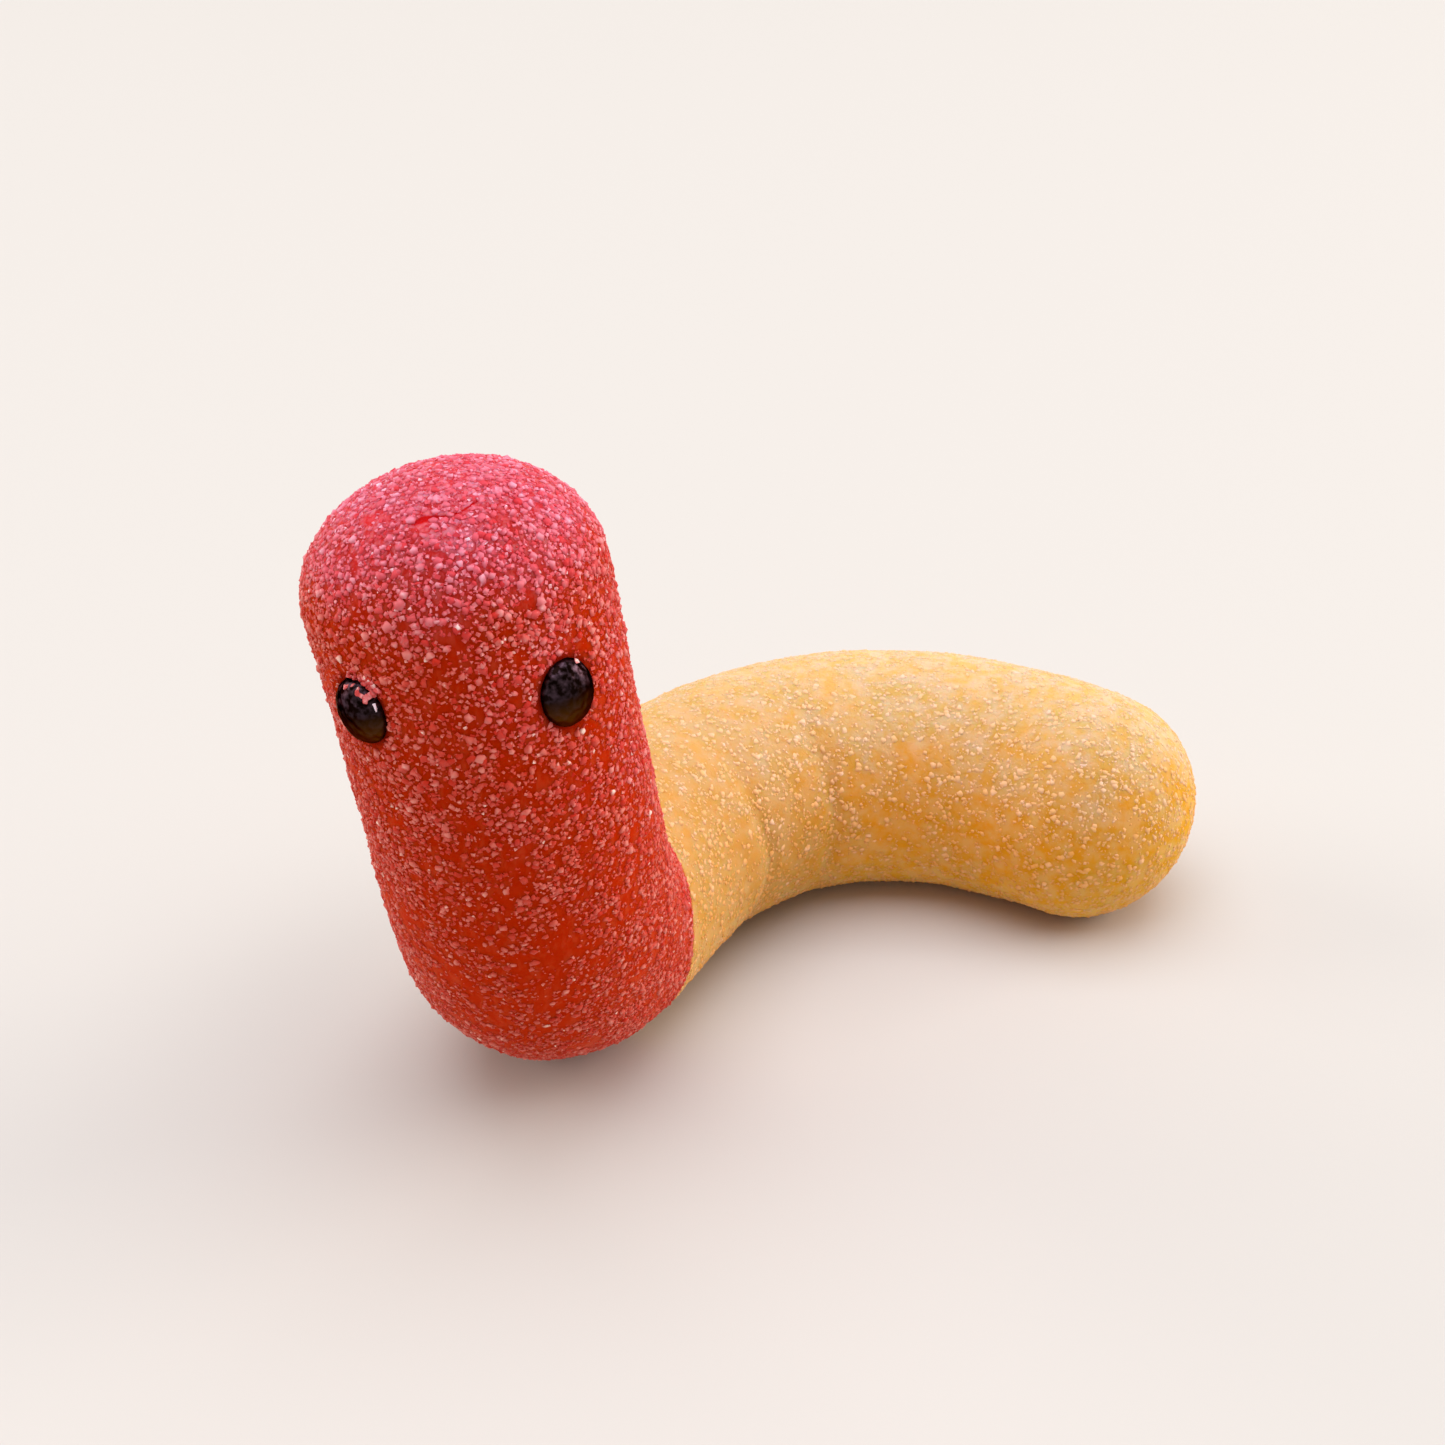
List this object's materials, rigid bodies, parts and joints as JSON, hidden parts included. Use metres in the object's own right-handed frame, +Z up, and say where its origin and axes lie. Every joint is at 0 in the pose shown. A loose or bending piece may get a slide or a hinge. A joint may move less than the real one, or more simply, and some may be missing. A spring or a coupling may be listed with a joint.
{
  "type": "gummy worm",
  "caption": "Plump sugar-coated gummy worm: the yellow tail half lies curled on the surface and the red head half stands up, with candy bead eyes.",
  "frame": {"origin": "middle of the worm's footprint box, on the surface that it rests on", "axes": "+X towards the tail's side, along the longest extent; -Y the way the face looks; +Z up"},
  "size_m": [0.0498, 0.0438, 0.0404],
  "materials": {
    "jelly": "soft translucent gel, red on the raised half and pale yellow on the lying half, coated with sugar crystals",
    "eye_candy": "glossy near-black hard candy"
  },
  "bodies": {
    "root": {"worm": "jelly", "eye_left": "eye_candy", "eye_right": "eye_candy"}
  },
  "joints": []
}
